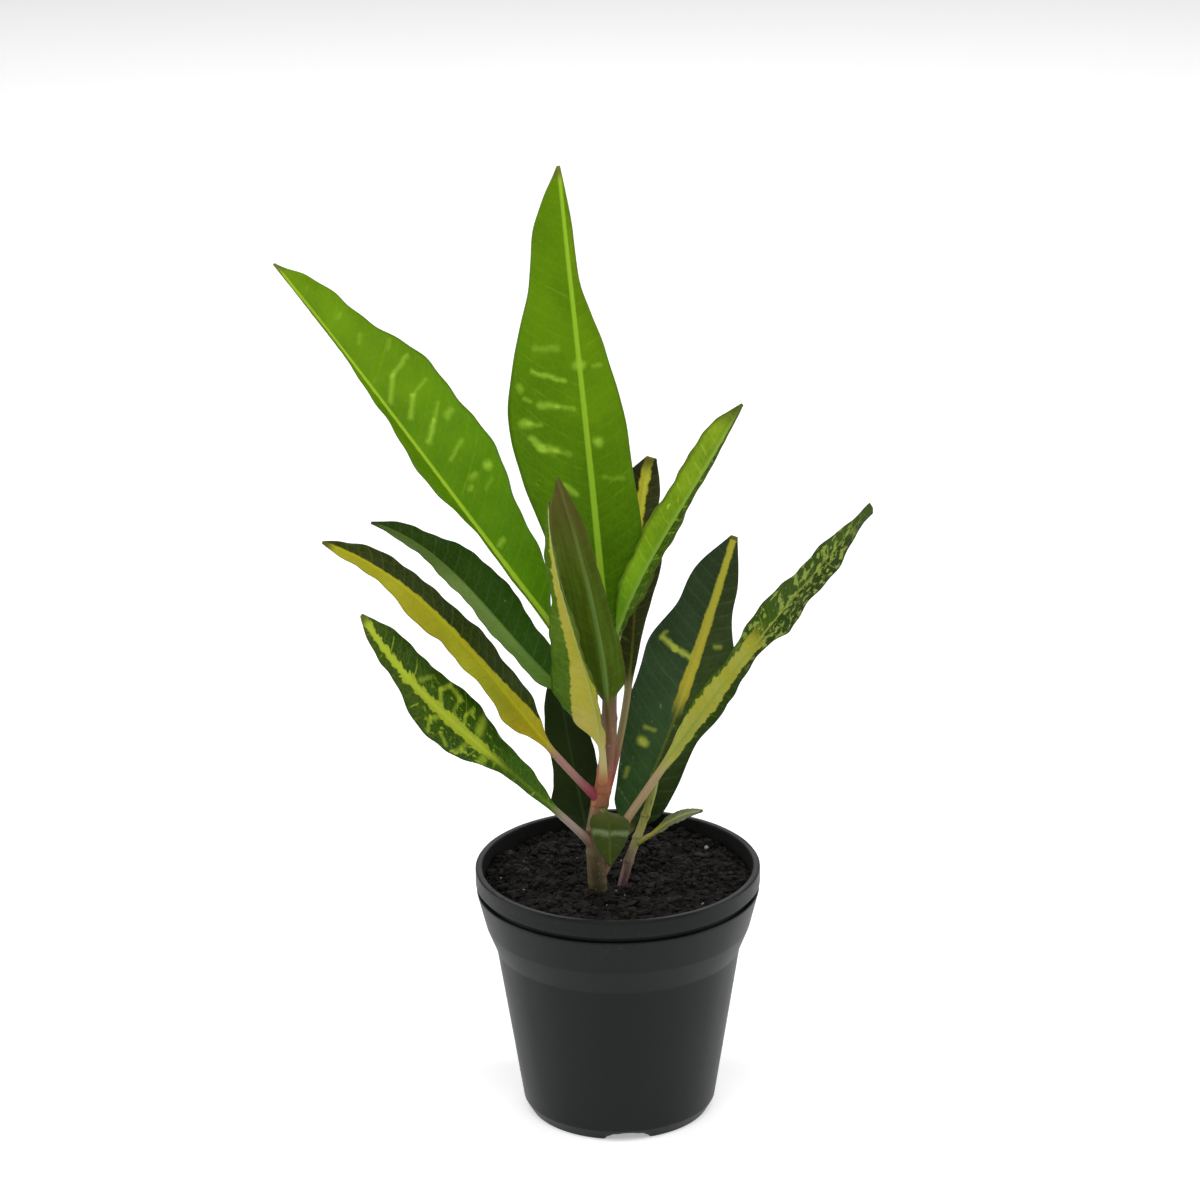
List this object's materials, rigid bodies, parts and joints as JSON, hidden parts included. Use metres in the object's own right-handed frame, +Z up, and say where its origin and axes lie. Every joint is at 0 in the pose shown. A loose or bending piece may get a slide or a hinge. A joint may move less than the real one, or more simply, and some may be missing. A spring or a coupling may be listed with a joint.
{
  "type": "potted croton",
  "caption": "Young croton with long waved variegated leaves on two thin stems, standing in dark soil in a small round nursery pot with a lip, a collar and arched foot notches.",
  "frame": {"origin": "centre of the pot's underside, on the surface that the pot stands on", "axes": "+Z up along the pot's axis, +X to the viewer's right in the picture, -Y towards the viewer"},
  "size_m": [0.2141, 0.1129, 0.3582],
  "materials": {
    "pot_plastic": "satin",
    "potting_soil": "matte",
    "stem_skin": "satin",
    "young_leaf": "satin",
    "dark_leaf": "satin",
    "yellow_leaf": "satin"
  },
  "bodies": {
    "root": {"pot": "pot_plastic", "soil": "potting_soil", "main_stem": "stem_skin", "side_stem": "stem_skin", "leaf_upper_left": "young_leaf", "leaf_tallest": "young_leaf", "leaf_right_narrow": "young_leaf", "leaf_back_right": "dark_leaf", "leaf_broad_right": "dark_leaf", "leaf_far_right": "yellow_leaf", "leaf_front_yellow": "yellow_leaf", "leaf_front_upright": "dark_leaf", "leaf_left_dark": "dark_leaf", "leaf_left_yellow": "yellow_leaf", "leaf_low_left": "yellow_leaf", "leaf_back_dark": "dark_leaf", "leaf_small_right": "yellow_leaf", "leaf_small_front": "dark_leaf"}
  },
  "joints": []
}
